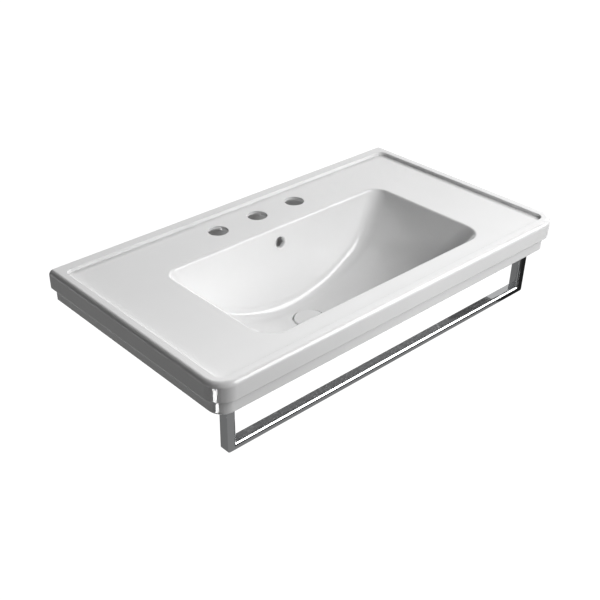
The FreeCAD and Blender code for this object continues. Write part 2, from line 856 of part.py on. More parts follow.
def coil(low, high):
    """The cartridge spring: one round wire on short arcs of a helix between the well and the piston."""
    wire = SIZES["spring_wire_radius"]
    mean = SIZES["spring_mean_radius"]
    start = low + wire
    steps = SPRING_TURNS * ARCS_PER_TURN
    rise = (high - wire - SIZES["stop_gap"] - start) / steps

    def on_helix(step):
        angle = 2 * math.pi * step / ARCS_PER_TURN
        return FreeCAD.Vector(mean * math.cos(angle), mean * math.sin(angle), start + rise * step)

    arcs = [Part.Arc(on_helix(step), on_helix(step + 0.5), on_helix(step + 1)) for step in range(steps)]
    path = Part.Wire([arc.toShape() for arc in arcs])
    points = path.discretize(steps * POINTS_PER_ARC)
    half_turn = ARCS_PER_TURN * POINTS_PER_ARC // 2
    spans = [first.distanceToPoint(second) for index, first in enumerate(points)
             for second in points[index + half_turn:]]
    print(f"cartridge_spring least gap to itself {min(spans) - 2 * wire:.2f} mm")
    heading = arcs[0].tangent(arcs[0].FirstParameter)[0]
    section = Part.Wire([Part.Circle(on_helix(0), heading, wire).toShape()])
    spring = DOC.addObject("Part::Feature", "cartridge_spring")
    spring.Shape = path.makePipeShell([section], True, False)
    spring.Placement.Base.y = drain_y.value
    return spring


# Towel rail with its brackets and fixings

pad_bottom = boss_under - size("pad_thickness")
flange_bottom = pad_bottom - size("bracket_thickness")
rail_bottom = rim_top - size("rail_drop")
rail_outer = half_width - size("rail_end_inset")
grub_z = flange_bottom - size("grub_drop")


def rail_outline(name, shrink, top):
    """The U of the rail seen from the front, shrunk by a wall for its inside."""
    outer = rail_outer - shrink
    inner = rail_outer - size("leg_thickness") + shrink
    low = rail_bottom + shrink
    high = rail_bottom + size("rail_thickness") - shrink
    sketch = flat_sketch(name, "XZ", [
        (-outer, top),
        (-outer, low),
        (outer, low),
        (outer, top),
        (inner, top),
        (inner, high),
        (-inner, high),
        (-inner, top),
    ])
    bind(sketch, ".Placement.Base.y", rail_y)
    return sketch


def rail_tube(name, shrink, top):
    """The rail's U as a solid, its front edge round towards the gap and the other edges crisp."""
    solid = extruded(name, rail_outline(name + "_outline", shrink, top), size("rail_depth") - shrink * 2)
    outer = rail_outer - shrink
    inner = rail_outer - size("leg_thickness") + shrink
    high = rail_bottom + size("rail_thickness") - shrink
    side = size("rail_depth") / 2 - shrink

    def outer_corner(point):
        return near(point.z, rail_bottom + shrink) and near(abs(point.x), outer)

    def round_edge(point):
        return near(point.y, rail_y - side) and (near(point.z, high) or near(abs(point.x), inner))

    def crisp_edge(point):
        return near(abs(point.y - rail_y.value), side) and not near(point.z, top) and not round_edge(point)

    solid = rounded(name + "_corners", solid, size("rail_corner_radius") - shrink, outer_corner)
    solid = rounded(name + "_crisp_edges", solid, size("rail_sharp_rounding") - shrink, crisp_edge)
    return rounded(name + "_round_edges", solid, size("rail_edge_rounding") - shrink, round_edge)


def towel_rail():
    solid = rail_tube("rail_outside", as_dim(0), flange_bottom)
    half_depth = size("rail_depth") / 2
    tools = [rail_tube("rail_inside", size("rail_wall"), flange_bottom + TIP)]
    for side, leg_x in rail_places():
        foot = (leg_x, rail_y + half_depth - size("rail_wall") - TIP, grub_z)
        tools.append(rod(f"grub_hole_{side}", foot, size("grub_radius") + size("screw_clearance"),
                         size("rail_wall") + TIP * 2, "Y"))
    return cut("towel_rail", solid, tools)


def screw_holes(name, spots, low, high):
    """Clearance holes for screws through a plate."""
    radius = size("screw_radius") + size("screw_clearance")
    length = high - low + TIP * 2
    return [rod(f"{name}_hole_{mark}", (x, rail_y, low - TIP), radius, length) for mark, x in spots]


def rail_fixings():
    """Brackets, pads and the fixings that hold the rail to the ceramic."""
    half_width_of_plate = size("bracket_width") / 2
    half_depth_of_plate = size("bracket_depth") / 2
    inside = size("rail_wall") + size("spigot_clearance")
    spigot_x = size("leg_thickness") / 2 - inside
    spigot_y = size("rail_depth") / 2 - inside
    spigot_end = flange_bottom - size("spigot_length")
    grub_tip = rail_y + size("rail_depth") / 2 - size("grub_length")
    nodes, grubs = [], []
    for side, leg_x in rail_places():
        spots = list(screw_places(side, leg_x))
        near_corner = (leg_x - half_width_of_plate, rail_y - half_depth_of_plate)
        far_corner = (leg_x + half_width_of_plate, rail_y + half_depth_of_plate)
        plate = block(f"flange_{side}", (*near_corner, flange_bottom), (*far_corner, pad_bottom))
        spigot = block(f"spigot_{side}", (leg_x - spigot_x, rail_y - spigot_y, spigot_end),
                       (leg_x + spigot_x, rail_y + spigot_y, flange_bottom))
        spigot = rounded(f"spigot_edges_{side}", spigot, size("rail_edge_rounding") - size("rail_wall"),
                         lambda point: near(point.z, (spigot_end + flange_bottom) / 2))
        name = f"rail_bracket_{side}"
        dimple = rod(f"dimple_{side}", (leg_x, grub_tip - size("screw_clearance"), grub_z),
                     size("grub_radius") + size("screw_clearance"), size("grub_length"), "Y")
        nodes.append(cut(name, joined(name + "_solid", [plate, spigot]),
                         screw_holes(name, spots, flange_bottom, pad_bottom) + [dimple]))
        name = f"rail_pad_{side}"
        sheet = block(f"pad_sheet_{side}", (*near_corner, pad_bottom), (*far_corner, boss_under))
        nodes.append(cut(name, sheet, screw_holes(name, spots, pad_bottom, boss_under)))
        grubs.append(rod(f"grub_{side}", (leg_x, grub_tip, grub_z), size("grub_radius"),
                         size("grub_length"), "Y"))
    screws, washers, plugs = [], [], []
    head_top = flange_bottom - size("washer_thickness")
    for mark, x in all_screw_places():
        head = rod(f"screw_head_{mark}", (x, rail_y, head_top - size("screw_head_height")),
                   size("screw_head_radius"), size("screw_head_height"))
        shank = rod(f"screw_shank_{mark}", (x, rail_y, head_top), size("screw_radius"), size("screw_length"))
        screws.append(joined(f"screw_{mark}", [head, shank]))
        disc = rod(f"washer_disc_{mark}", (x, rail_y, head_top), size("washer_radius"),
                   size("washer_thickness"))
        eye = rod(f"washer_eye_{mark}", (x, rail_y, head_top - TIP),
                  size("screw_radius") + size("screw_clearance"), size("washer_thickness") + TIP * 2)
        washers.append(cut(f"washer_{mark}", disc, [eye]))
        dowel = rod(f"dowel_{mark}", (x, rail_y, boss_under), size("wall_plug_radius"),
                    size("wall_plug_length"))
        core = rod(f"dowel_core_{mark}", (x, rail_y, boss_under - TIP),
                   size("screw_radius") + size("wall_plug_clearance"), size("wall_plug_length") + TIP * 2)
        plugs.append(cut(f"plug_{mark}", dowel, [core]))
    return nodes + [
        group("rail_screws", screws),
        group("rail_washers", washers),
        group("rail_plugs", plugs),
        group("rail_grub_screws", grubs),
    ]


def fixing_bushes():
    """Flanged nylon bushes in the wall fixing holes."""
    bushes = []
    flange_front = -size("rear_wall") - size("bush_flange_thickness")
    for number, step in enumerate((-1, 1), start=1):
        x = size("fixing_pitch") / 2 * step
        collar = rod(f"bush_flange_{number}", (x, flange_front, 0), size("bush_flange_radius"),
                     size("bush_flange_thickness"), "Y")
        sleeve = rod(f"bush_sleeve_{number}", (x, -size("rear_wall"), 0), size("bush_radius"),
                     size("rear_wall"), "Y")
        bore = rod(f"bush_bore_{number}", (x, flange_front - TIP, 0), size("bush_bore_radius"),
                   size("rear_wall") + size("bush_flange_thickness") + TIP * 2, "Y")
        bushes.append(cut(f"bush_{number}", joined(f"bush_solid_{number}", [collar, sleeve]), [bore]))
    return group("fixing_bushes", bushes)


nodes = [basin(), waste_body(), *clamp_rings(), *plug_pieces(), *cartridge_pieces(), towel_rail(),
         *rail_fixings(), fixing_bushes()]
DOC.recompute()

for obj in DOC.Objects:
    if "Invalid" in obj.State or "Error" in obj.State:
        raise RuntimeError(f"{obj.Name} failed: {obj.State}")
for node in nodes:
    if node.Shape.isNull() or not node.Shape.isValid() or not node.Shape.Solids:
        raise RuntimeError(f"{node.Label} has no sound solid")

os.makedirs("parts", exist_ok=True)
for node in nodes:
    node.Shape.exportStep(f"parts/{node.Label}.step")
    print(f"{node.Label}: {len(node.Shape.Solids)} solid(s), {node.Shape.Volume / 1000:.2f} cm3")
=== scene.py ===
import logging
import math
from collections.abc import Callable, Iterator
from contextlib import contextmanager
from dataclasses import dataclass, field
from enum import Enum
from typing import ClassVar

import bpy
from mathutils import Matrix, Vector


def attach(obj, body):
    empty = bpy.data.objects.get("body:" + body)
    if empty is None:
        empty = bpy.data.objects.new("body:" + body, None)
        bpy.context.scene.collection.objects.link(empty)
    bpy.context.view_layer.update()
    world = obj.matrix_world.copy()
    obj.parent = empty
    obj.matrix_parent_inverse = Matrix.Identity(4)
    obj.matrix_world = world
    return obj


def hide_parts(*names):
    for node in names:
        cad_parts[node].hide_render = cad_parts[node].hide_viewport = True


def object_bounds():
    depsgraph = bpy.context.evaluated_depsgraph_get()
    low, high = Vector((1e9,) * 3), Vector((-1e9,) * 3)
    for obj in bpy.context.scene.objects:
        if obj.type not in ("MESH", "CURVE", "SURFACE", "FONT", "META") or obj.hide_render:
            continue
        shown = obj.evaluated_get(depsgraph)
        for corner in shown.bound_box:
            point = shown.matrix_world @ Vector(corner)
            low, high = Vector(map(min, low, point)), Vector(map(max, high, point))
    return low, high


# Lengths are in metres, angles in degrees and lamp powers in watts, unless a name says otherwise.

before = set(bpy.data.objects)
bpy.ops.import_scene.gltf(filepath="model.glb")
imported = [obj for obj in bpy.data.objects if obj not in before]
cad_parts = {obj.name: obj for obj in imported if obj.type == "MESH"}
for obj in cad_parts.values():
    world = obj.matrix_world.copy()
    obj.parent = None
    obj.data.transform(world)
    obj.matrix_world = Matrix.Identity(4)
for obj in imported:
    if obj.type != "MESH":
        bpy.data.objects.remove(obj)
CAD_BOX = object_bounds()

LOG = logging.getLogger("washbasin")

Colour = tuple[float, float, float]
Place = tuple[float, float, float]
Size = tuple[float, float, float]
Choice = Callable[[Vector], bool]
Shaper = Callable[[bpy.types.Object], None]


class Body(Enum):
    """The two bodies that pieces ride on."""

    FIXED = "basin_body"
    PLUG = "plug"


class Relief(Enum):
    """The small surface form of a finish."""

    RIPPLE = "glaze_ripple"
    GRAIN = "moulded_grain"
    BRUSHED = "brushed_lines"
    TURNED = "turning_marks"


class Reach(Enum):
    """What a lamp shows up in."""

    LIGHT = "lights only"
    MIRROR = "is mirrored only"


def towards(azimuth: float, elevation: float) -> Vector:
    """The direction from the basin to a point of the studio.

    Args:
        azimuth: Angle round from the basin's front towards its right.
        elevation: Angle up from the level.

    Returns:
        The direction, of length 1.
    """
    turn = math.radians(azimuth)
    rise = math.radians(elevation)
    return Vector((math.sin(turn) * math.cos(rise), -math.cos(turn) * math.cos(rise), math.sin(rise)))


def grey(tone: float) -> tuple[float, float, float, float]:
    """An opaque grey of one tone."""
    return tone, tone, tone, 1.0


class NodeBoard:
    """A node tree with short ways to add nodes and join their sockets."""

    def __init__(self, tree: bpy.types.NodeTree) -> None:
        """Take a tree and empty it.

        Args:
            tree: The node tree of a material, world or group.
        """
        self.tree = tree
        tree.nodes.clear()

    def add(self, kind: str, **values: object) -> bpy.types.Node:
        """Add a node and set its properties.

        Args:
            kind: The node's type name.
            values: Properties to set on it.

        Returns:
            The new node.
        """
        node = self.tree.nodes.new(kind)
        for name, value in values.items():
            setattr(node, name, value)
        return node

    def join(self, source: bpy.types.NodeSocket, target: bpy.types.NodeSocket) -> None:
        """Join an output socket to an input socket."""
        self.tree.links.new(source, target)


def fresh_material(name: str) -> tuple[bpy.types.Material, NodeBoard]:
    """Make a material whose nodes are still to be added.

    Args:
        name: The material's name.

    Returns:
        The material and its empty board.
    """
    made = bpy.data.materials.new(name)
    made.use_nodes = True
    return made, NodeBoard(made.node_tree)


class EffectLibrary:
    """Builds each shared shader node group once."""

    CLOUD_DETAIL = 4.0
    CLOUD_LOW = 0.3
    CLOUD_HIGH = 0.7
    RIPPLE_DETAIL = 1.5
    GRAIN_DETAIL = 5.0
    TURNING_WAVER = 0.6
    BRUSH_STRETCH = (0.04, 1.0, 1.0)

    def __init__(self) -> None:
        """Start with no groups."""
        self.groups: dict[str, bpy.types.NodeTree] = {}

    def start(self, name: str, inputs: tuple[str, ...], output: str) -> NodeBoard:
        """Open a new group with float sockets.

        Args:
            name: The group's name.
            inputs: Names of its inputs.
            output: Name of its one output.

        Returns:
            The empty board of the group.
        """
        tree = bpy.data.node_groups.new(name, "ShaderNodeTree")
        for label in inputs:
            tree.interface.new_socket(name=label, in_out="INPUT", socket_type="NodeSocketFloat")
        tree.interface.new_socket(name=output, in_out="OUTPUT", socket_type="NodeSocketFloat")
        self.groups[name] = tree
        return NodeBoard(tree)

    def drift(self) -> bpy.types.NodeTree:
        """Slow cloudy change between a low and a high value.

        Returns:
            The group, with inputs Scale, Low and High and the output Value.
        """
        name = "surface_drift"
        if name in self.groups:
            return self.groups[name]
        board = self.start(name, ("Scale", "Low", "High"), "Value")
        inlet = board.add("NodeGroupInput")
        outlet = board.add("NodeGroupOutput")
        place = board.add("ShaderNodeTexCoord")
        cloud = board.add("ShaderNodeTexNoise")
        cloud.inputs["Detail"].default_value = self.CLOUD_DETAIL
        span = board.add("ShaderNodeMapRange")
        span.inputs["From Min"].default_value = self.CLOUD_LOW
        span.inputs["From Max"].default_value = self.CLOUD_HIGH
        board.join(place.outputs["Object"], cloud.inputs["Vector"])
        board.join(inlet.outputs["Scale"], cloud.inputs["Scale"])
        board.join(cloud.outputs["Fac"], span.inputs["Value"])
        board.join(inlet.outputs["Low"], span.inputs["To Min"])
        board.join(inlet.outputs["High"], span.inputs["To Max"])
        board.join(span.outputs["Result"], outlet.inputs["Value"])
        return self.groups[name]

    def relief(self, kind: Relief) -> bpy.types.NodeTree:
        """Small surface form as a height.

        Args:
            kind: Which form to build.

        Returns:
            The group, with the input Scale and the output Height.
        """
        name = kind.value
        if name in self.groups:
            return self.groups[name]
        board = self.start(name, ("Scale",), "Height")
        inlet = board.add("NodeGroupInput")
        outlet = board.add("NodeGroupOutput")
        place = board.add("ShaderNodeTexCoord")
        if kind is Relief.TURNED:
            marks = board.add("ShaderNodeTexWave", wave_type="BANDS", bands_direction="Z")
            marks.inputs["Distortion"].default_value = self.TURNING_WAVER
        else:
            detail = self.RIPPLE_DETAIL if kind is Relief.RIPPLE else self.GRAIN_DETAIL
            marks = board.add("ShaderNodeTexNoise")
            marks.inputs["Detail"].default_value = detail
        if kind is Relief.BRUSHED:
            stretch = board.add("ShaderNodeMapping", vector_type="POINT")
            stretch.inputs["Scale"].default_value = self.BRUSH_STRETCH
            board.join(place.outputs["Object"], stretch.inputs["Vector"])
            board.join(stretch.outputs["Vector"], marks.inputs["Vector"])
        else:
            board.join(place.outputs["Object"], marks.inputs["Vector"])
        board.join(inlet.outputs["Scale"], marks.inputs["Scale"])
        board.join(marks.outputs["Fac"], outlet.inputs["Height"])
        return self.groups[name]


EFFECTS = EffectLibrary()


@dataclass(frozen=True)
class Finish:
    """One surface finish: its colours, gloss and small surface form."""

    GLOSS_FINENESS: ClassVar[float] = 2.3

    name: str
    slot: str
    dark: Colour
    light: Colour
    smoothest: float
    roughest: float
    relief: Relief
    relief_scale: float
    relief_depth: float
    drift_scale: float = 9.0
    metallic: float = 0.0

    def material(self) -> bpy.types.Material:
        """The finish as a material, made at its first use.

        Returns:
            The material of this name.
        """
        known = bpy.data.materials.get(self.name)
        if known:
            return known
        made, board = fresh_material(self.name)
        outlet = board.add("ShaderNodeOutputMaterial")
        surface = board.add("ShaderNodeBsdfPrincipled")
        surface.inputs["Metallic"].default_value = self.metallic

        tint = self.drift(board, self.drift_scale, 0.0, 1.0)
        blend = board.add("ShaderNodeMix", data_type="RGBA")
        blend.inputs["A"].default_value = (*self.dark, 1.0)
        blend.inputs["B"].default_value = (*self.light, 1.0)
        board.join(tint, blend.inputs["Factor"])
        board.join(blend.outputs["Result"], surface.inputs["Base Color"])

        gloss = self.drift(board, self.drift_scale * self.GLOSS_FINENESS, self.smoothest, self.roughest)
        board.join(gloss, surface.inputs["Roughness"])

        form = board.add("ShaderNodeGroup", node_tree=EFFECTS.relief(self.relief))
        form.inputs["Scale"].default_value = self.relief_scale
        bump = board.add("ShaderNodeBump")
        bump.inputs["Distance"].default_value = self.relief_depth
        board.join(form.outputs["Height"], bump.inputs["Height"])
        board.join(bump.outputs["Normal"], surface.inputs["Normal"])
        board.join(surface.outputs["BSDF"], outlet.inputs["Surface"])
        return made

    @staticmethod
    def drift(board: NodeBoard, scale: float, low: float, high: float) -> bpy.types.NodeSocket:
        """Place the slow change in a material.

        Args:
            board: The material's board.
            scale: How fine the change is.
            low: Its least value.
            high: Its greatest value.

        Returns:
            The socket that carries the value.
        """
        cloud = board.add("ShaderNodeGroup", node_tree=EFFECTS.drift())
        cloud.inputs["Scale"].default_value = scale
        cloud.inputs["Low"].default_value = low
        cloud.inputs["High"].default_value = high
        return cloud.outputs["Value"]


# Each finish gives its name and slot, its darkest and lightest colour, its least and most roughness,
# and then the kind, scale and depth of its relief.
GLAZE = Finish("white_glaze", "glaze", (0.91, 0.91, 0.91), (0.93, 0.93, 0.93), 0.04, 0.08,
               Relief.RIPPLE, 14.0, 0.00012)
COVER_GLAZE = Finish("cover_glaze", "cover_glaze", (0.9, 0.9, 0.9), (0.92, 0.92, 0.92), 0.05, 0.09,
                     Relief.RIPPLE, 40.0, 0.00005)
CHROME = Finish("polished_chrome", "chrome", (0.66, 0.67, 0.68), (0.74, 0.75, 0.76), 0.03, 0.06,
                Relief.BRUSHED, 260.0, 0.000004, metallic=1.0)
WASTE_CHROME = Finish("plated_waste", "waste_chrome", (0.62, 0.63, 0.64), (0.72, 0.73, 0.74), 0.06, 0.13,
                      Relief.TURNED, 420.0, 0.00002, metallic=1.0)
STEEL = Finish("plain_steel", "steel", (0.46, 0.46, 0.47), (0.58, 0.58, 0.59), 0.24, 0.38,
               Relief.BRUSHED, 420.0, 0.00002, drift_scale=30.0, metallic=1.0)
BRASS = Finish("turned_brass", "brass", (0.62, 0.45, 0.18), (0.74, 0.57, 0.27), 0.2, 0.34,
               Relief.TURNED, 500.0, 0.00003, drift_scale=30.0, metallic=1.0)
RUBBER = Finish("black_rubber", "rubber", (0.025, 0.025, 0.025), (0.045, 0.045, 0.045), 0.55, 0.75,
                Relief.GRAIN, 900.0, 0.00005, drift_scale=40.0)
NYLON = Finish("natural_nylon", "nylon", (0.74, 0.73, 0.69), (0.82, 0.81, 0.78), 0.36, 0.5,
               Relief.GRAIN, 700.0, 0.00003, drift_scale=40.0)
CARRIER_PLASTIC = Finish("dark_plastic", "carrier_plastic", (0.12, 0.12, 0.125), (0.17, 0.17, 0.175),
                         0.35, 0.5, Relief.GRAIN, 800.0, 0.00003, drift_scale=40.0)


class Workbench:
    """The few steps of hand modelling that every piece goes through."""

    MERGE_GAP = 0.00001
    LARGE_FACE_WEIGHT = 100

    @staticmethod
    def pick(piece: bpy.types.Object) -> None:
        """Select one piece alone and make it active.

        Args:
            piece: The piece.
        """
        bpy.ops.object.select_all(action="DESELECT")
        piece.select_set(True)
        bpy.context.view_layer.objects.active = piece

    @classmethod
    @contextmanager
    def editing(cls, piece: bpy.types.Object, chosen: Choice | None = None) -> Iterator[None]:
        """Hold a piece open for editing.

        Args:
            piece: The piece.
            chosen: Says whether the corner at a place is selected. Without it all corners are.

        Returns:
            The context in which the piece stays open.
        """
        cls.pick(piece)
        bpy.ops.object.mode_set(mode="EDIT")
        if chosen:
            bpy.ops.mesh.select_mode(type="VERT")
            bpy.ops.mesh.select_all(action="DESELECT")
            bpy.ops.object.mode_set(mode="OBJECT")
            for corner in piece.data.vertices:
                corner.select = chosen(corner.co)
            bpy.ops.object.mode_set(mode="EDIT")
            bpy.ops.mesh.select_mode(type="EDGE")
        else:
            bpy.ops.mesh.select_all(action="SELECT")
        yield
        bpy.ops.object.mode_set(mode="OBJECT")

    @classmethod
    def modify(cls, piece: bpy.types.Object, kind: str, **values: object) -> None:
        """Add a modifier to a piece, set it and apply it.

        Args:
            piece: The piece.
            kind: The modifier's type name.
            values: Properties to set on it.
        """
        cls.pick(piece)
        bpy.ops.object.modifier_add(type=kind)
        modifier = piece.modifiers[-1]
        for name, value in values.items():
            setattr(modifier, name, value)
        bpy.ops.object.modifier_apply(modifier=modifier.name)

    @classmethod
    def merge(cls, piece: bpy.types.Object) -> None:
        """Weld a piece's loose triangles into one skin.

        Args:
            piece: The piece.
        """
        cls.pick(piece)
        if piece.data.has_custom_normals:
            bpy.ops.mesh.customdata_custom_splitnormals_clear()
        with cls.editing(piece):
            bpy.ops.mesh.remove_doubles(threshold=cls.MERGE_GAP)

    @classmethod
    def smooth(cls, piece: bpy.types.Object, crease: float) -> None:
        """Shade a piece smooth up to a crease and weigh its normals by face size.

        Args:
            piece: The piece.
            crease: Angle above which an edge stays sharp.
        """
        cls.pick(piece)
        bpy.ops.object.shade_smooth_by_angle(angle=math.radians(crease))
        cls.modify(piece, "WEIGHTED_NORMAL", keep_sharp=True, weight=cls.LARGE_FACE_WEIGHT)

    @staticmethod
    def coat(piece: bpy.types.Object, finish: Finish) -> None:
        """Give a piece one finish and report it.

        Args:
            piece: The piece.
            finish: Its finish.
        """
        piece.data.materials.clear()
        piece.data.materials.append(finish.material())
        LOG.info("%s has %d faces of %s", piece.name, len(piece.data.polygons), finish.name)

    @classmethod
    def dress(cls, piece: bpy.types.Object, finish: Finish, body: Body) -> None:
        """Finish a new piece and set it on a body.

        Args:
            piece: The piece.
            finish: Its finish.
            body: The body that carries it.
        """
        cls.coat(piece, finish)
        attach(piece, body.value)

    @classmethod
    def skin(cls, node: str, name: str, finish: Finish, body: Body, crease: float = 40.0,
             shape: Shaper | None = None) -> None:
        """Make a smooth, finished skin that stands for a solid of the frame.

        Args:
            node: The solid's name.
            name: The new piece's name.
            finish: Its finish.
            body: The body that carries it.
            crease: Angle above which an edge stays sharp.
            shape: Adds finer form to the merged piece before it is smoothed.
        """
        piece = bpy.data.objects.new(name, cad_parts[node].data.copy())
        bpy.context.scene.collection.objects.link(piece)
        cls.merge(piece)
        if shape:
            shape(piece)
        cls.smooth(piece, crease)
        cls.dress(piece, finish, body)
        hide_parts(node)


@dataclass
class CeramicBody:
    """The fired basin and the bushes in its wall."""

    crease: float = 35.0

    def build(self) -> None:
        """Skin the basin and its bushes."""
        Workbench.skin("basin", "glazed_body", GLAZE, Body.FIXED, self.crease)
        Workbench.skin("fixing_bushes", "nylon_bushes", NYLON, Body.FIXED)


@dataclass
class TowelRail:
    """The chromed rail, its brackets and the fixings that hold them."""

    sides: tuple[str, ...] = ("left", "right")
    leg_x: float = 0.3975
    rail_y: float = -0.457
    screw_pitch: float = 0.036
    flat_angle: float = 0.5
    head_rounding: float = 0.0012
    rounding_steps: int = 4
    recess_size: Size = (0.0054, 0.0011, 0.0032)

    def shape_heads(self, screws: bpy.types.Object) -> None:
        """Round the screws' heads and sink a cross recess in each.

        Args:
            screws: The merged screws, heads down.
        """
        with Workbench.editing(screws):
            bpy.ops.mesh.dissolve_limited(angle_limit=math.radians(self.flat_angle))
        low = min(corner.co.z for corner in screws.data.vertices)
        with Workbench.editing(screws, lambda place: place.z - low < Workbench.MERGE_GAP):
            bpy.ops.mesh.bevel(offset=self.head_rounding, segments=self.rounding_steps, affect="EDGES")
        cutter = self.recess_cutter(low)
        Workbench.modify(screws, "BOOLEAN", operation="DIFFERENCE", solver="EXACT", use_self=True,
                         object=cutter)
        bpy.data.meshes.remove(cutter.data)

    def recess_cutter(self, low: float) -> bpy.types.Object:
        """The crossed bars that cut the recesses, joined.

        Args:
            low: Height of the heads' lower faces.

        Returns:
            The cutter.
        """
        length, width, depth = self.recess_size
        bars = []
        for leg in (-self.leg_x, self.leg_x):
            for step in (-self.screw_pitch / 2, self.screw_pitch / 2):
                for reach in ((length, width, depth), (width, length, depth)):
                    bpy.ops.mesh.primitive_cube_add(size=1.0, location=(leg + step, self.rail_y, low))
                    bpy.ops.transform.resize(value=reach)
                    bars.append(bpy.context.object)
        bpy.ops.object.select_all(action="DESELECT")
        for bar in bars:
            bar.select_set(True)
        bpy.ops.object.join()
        bpy.ops.object.transform_apply(location=True, rotation=True, scale=True)
        return bpy.context.object

    def build(self) -> None:
        """Skin the rail, then what holds it."""
        Workbench.skin("towel_rail", "chromed_rail", CHROME, Body.FIXED)
        for side in self.sides:
            Workbench.skin(f"rail_bracket_{side}", f"steel_bracket_{side}", STEEL, Body.FIXED)
            Workbench.skin(f"rail_pad_{side}", f"rubber_pad_{side}", RUBBER, Body.FIXED)
        Workbench.skin("rail_screws", "steel_screws", STEEL, Body.FIXED, shape=self.shape_heads)
        Workbench.skin("rail_washers", "steel_washers", STEEL, Body.FIXED)
        Workbench.skin("rail_plugs", "nylon_plugs", NYLON, Body.FIXED)
        Workbench.skin("rail_grub_screws", "steel_grub_screws", STEEL, Body.FIXED)


@dataclass
class TailThread:
    """The pipe thread round the waste's tail."""

    axis: Vector = field(default_factory=lambda: Vector((0.0, -0.237, 0.0)))
    wall: float = 0.0206
    root: float = 0.0196
    crest: float = 0.02055
    land: float = 0.0002
    foot: float = 0.001
    pitch: float = 0.00231
    bottom: float = -0.1788
    turns: int = 16
    steps: int = 48
    crease: float = 30.0

    def draw_in(self, body: bpy.types.Object) -> None:
        """Draw the tail's outer wall in to the root of the thread.

        Args:
            body: The merged waste body.
        """
        def on_tail(place: Vector) -> bool:
            """Whether a place lies on the tail's outer wall."""
            return abs((place - self.axis).to_2d().length - self.wall) < Workbench.MERGE_GAP

        shrink = self.root / self.wall
        with Workbench.editing(body, on_tail):
            bpy.ops.transform.resize(value=(shrink, shrink, 1.0), center_override=self.axis)

    def build(self) -> None:
        """Sweep the ridge's section round the tail."""
        bpy.ops.mesh.primitive_plane_add(size=1.0)
        ridge = bpy.context.object
        ridge.name = "tail_thread"
        # A plane's corners come in two rows, so the section runs from its lower to its upper flank.
        section = ((self.root, -self.foot), (self.crest, -self.land),
                   (self.root, self.foot), (self.crest, self.land))
        for corner, (out, up) in zip(ridge.data.vertices, section):
            corner.co = (out, 0.0, self.bottom + up)
        with Workbench.editing(ridge):
            bpy.ops.mesh.delete(type="ONLY_FACE")
        Workbench.modify(ridge, "SCREW", screw_offset=self.pitch, iterations=self.turns,
                         steps=self.steps, render_steps=self.steps)
        with Workbench.editing(ridge):
            bpy.ops.mesh.fill_holes(sides=len(section))
            bpy.ops.mesh.select_all(action="SELECT")
            bpy.ops.mesh.normals_make_consistent(inside=False)
            bpy.ops.transform.translate(value=self.axis)
        Workbench.smooth(ridge, self.crease)
        Workbench.dress(ridge, WASTE_CHROME, Body.FIXED)


@dataclass
class Waste:
    """The waste body, its clamping rings and the push-to-open cartridge."""

    thread: TailThread = field(default_factory=TailThread)

    def build(self) -> None:
        """Skin each piece of the waste, and leave the spring as the solid that the plug stretches."""
        Workbench.skin("waste_body", "plated_waste_body", WASTE_CHROME, Body.FIXED,
                       shape=self.thread.draw_in)
        self.thread.build()
        Workbench.skin("flange_gasket", "rubber_flange_gasket", RUBBER, Body.FIXED)
        Workbench.skin("under_gasket", "rubber_under_gasket", RUBBER, Body.FIXED)
        Workbench.skin("slip_washer", "nylon_slip_washer", NYLON, Body.FIXED)
        Workbench.skin("back_nut", "brass_back_nut", BRASS, Body.FIXED)
        Workbench.skin("cartridge_body", "brass_cartridge", BRASS, Body.FIXED)
        Workbench.skin("cartridge_cap", "plastic_cartridge_cap", CARRIER_PLASTIC, Body.FIXED)
        Workbench.skin("cartridge_locknut", "brass_locknut", BRASS, Body.FIXED)
        Workbench.coat(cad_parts["cartridge_spring"], STEEL)


class Plug:
    """The cover and what rides under it."""

    def build(self) -> None:
        """Skin each piece of the plug."""
        Workbench.skin("plug_cover", "glazed_cover", COVER_GLAZE, Body.PLUG)
        Workbench.skin("plug_carrier", "plastic_carrier", CARRIER_PLASTIC, Body.PLUG)
        Workbench.skin("plug_seal", "rubber_seal", RUBBER, Body.PLUG)
        Workbench.skin("plug_spindle", "steel_spindle", STEEL, Body.PLUG)


@dataclass(frozen=True)
class Softbox:
    """A flat studio lamp aimed at the basin."""

    name: str
    azimuth: float
    elevation: float
    distance: float
    width: float
    height: float
    power: float
    reach: Reach

    def light(self, aim: Vector) -> None:
        """Hang the lamp.

        Args:
            aim: The point it faces.
        """
        back = towards(self.azimuth, self.elevation)
        bpy.ops.object.light_add(type="AREA", location=aim + back * self.distance)
        lamp = bpy.context.object
        lamp.name = self.name
        lamp.rotation_euler = (-back).to_track_quat("-Z", "Y").to_euler()
        lamp.data.shape = "RECTANGLE"
        lamp.data.size = self.width
        lamp.data.size_y = self.height
        lamp.data.energy = self.power
        lamp.visible_camera = False
        lamp.visible_glossy = self.reach is Reach.MIRROR
        lamp.visible_diffuse = self.reach is Reach.LIGHT


